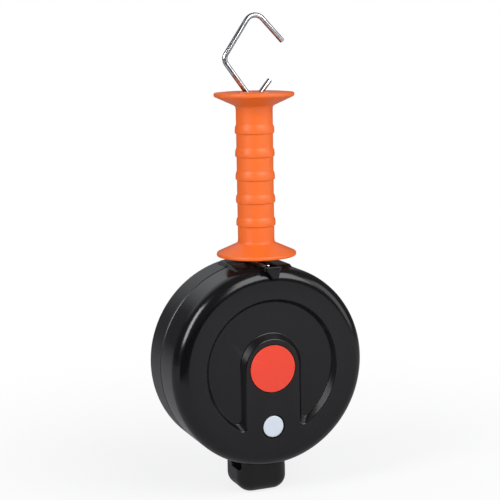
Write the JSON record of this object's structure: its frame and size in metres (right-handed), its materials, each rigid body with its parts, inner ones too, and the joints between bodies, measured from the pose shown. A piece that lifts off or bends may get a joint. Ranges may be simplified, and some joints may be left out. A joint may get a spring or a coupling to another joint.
{
  "type": "retractable fence gate reel",
  "caption": "Spring-return tape reel for a fence gate: round two-part moulded drum with a lug below, tape outlet on top, and a flanged pull handle with an open wire gate hook.",
  "frame": {"origin": "middle of the flat foot of the lug under the drum", "axes": "+Z along the pull of the tape, from the lug up through the drum's axis to the handle and hook; -Y out of the drum's front face with the label; +X to the right seen from the front"},
  "size_m": [0.16, 0.069, 0.3803],
  "materials": {
    "black_abs": "satin",
    "orange_plastic": "satin",
    "red_label": "satin",
    "grey_plug": "satin",
    "zinc_wire": "zinc plated",
    "turned_steel": "plated",
    "spring_steel": "blued",
    "natural_nylon": "natural",
    "black_nylon": "satin",
    "white_tape": "woven"
  },
  "bodies": {
    "housing": {"front_shell": "black_abs", "rear_shell": "black_abs", "label_disc": "red_label", "cover_plug": "grey_plug", "housing_screw_1": "turned_steel", "housing_screw_2": "turned_steel", "housing_screw_3": "turned_steel", "housing_screw_4": "turned_steel", "guide_pin_left": "turned_steel", "guide_pin_right": "turned_steel", "arbor": "turned_steel", "arbor_screw": "turned_steel", "thrust_washer_front": "natural_nylon", "thrust_washer_rear": "natural_nylon", "tape_span": "white_tape", "tape_lead": "white_tape"},
    "spool": {"spool_core": "black_nylon", "spool_flange": "black_nylon", "spool_screw_1": "turned_steel", "spool_screw_2": "turned_steel", "spool_screw_3": "turned_steel", "front_bush": "natural_nylon", "rear_bush": "natural_nylon", "clock_spring": "spring_steel", "tape_roll": "white_tape", "tape_anchor_pin": "turned_steel"},
    "handle": {"grip": "orange_plastic", "handle_rod": "zinc_wire", "grip_washer": "zinc_wire", "tape_ring": "zinc_wire", "tape_hem": "white_tape"},
    "hook": {"hook": "zinc_wire"}
  },
  "joints": [
    {"name": "handle_pull", "type": "slide", "parent": "housing", "child": "handle", "axis": [0, 0, 1], "range_m": [0, 5], "stiffness_N_per_m": 4, "springref_m": -3.75, "deforming": ["tape_lead"]},
    {"name": "spool_spin", "type": "hinge", "parent": "housing", "child": "spool", "pos_m": [0, -0.008, 0.106], "axis": [0, -1, 0], "range_deg": [0, 6270]},
    {"name": "hook_swing", "type": "hinge", "parent": "handle", "child": "hook", "pos_m": [0, -0.008, 0.3144], "axis": [1, 0, 0], "range_deg": [-40, 40]}
  ],
  "couplings": [
    {"joint": "spool_spin", "follows": "handle_pull", "rad_per_m": 21.88}
  ]
}
